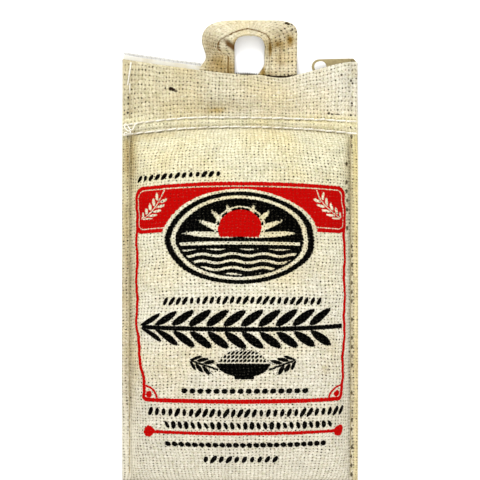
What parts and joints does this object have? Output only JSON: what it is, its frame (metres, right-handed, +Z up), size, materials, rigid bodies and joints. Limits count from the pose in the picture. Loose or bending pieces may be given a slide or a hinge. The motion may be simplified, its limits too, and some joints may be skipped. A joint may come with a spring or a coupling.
{
  "type": "bag of rice",
  "caption": "Small cloth sack of rice lying on its back, printed front up, with two rows of closing stitches, a zipped mouth and a carrying loop of folded cloth.",
  "frame": {"origin": "on the floor under the middle of the whole, which lies on its back", "axes": "+Z up out of the printed front, +Y towards the carrying loop, +X towards the end of the mouth that has the zip's pull"},
  "size_m": [0.16, 0.324, 0.0431],
  "materials": {
    "cotton_cloth": "coarse open plain weave, unbleached, matte",
    "white_thread": "twisted cotton, matte",
    "zip_nylon": "off-white, satin",
    "zip_enamel": "khaki paint, satin"
  },
  "bodies": {
    "root": {"sack": "cotton_cloth", "handle": "cotton_cloth", "zip_tape": "zip_nylon", "zip_teeth": "zip_nylon", "zip_slider": "zip_nylon", "zip_pull": "zip_enamel", "closing_thread_upper": "white_thread", "closing_thread_lower": "white_thread", "side_thread_left": "white_thread", "side_thread_right": "white_thread", "foot_thread": "white_thread", "thread_tail": "white_thread"}
  },
  "joints": []
}
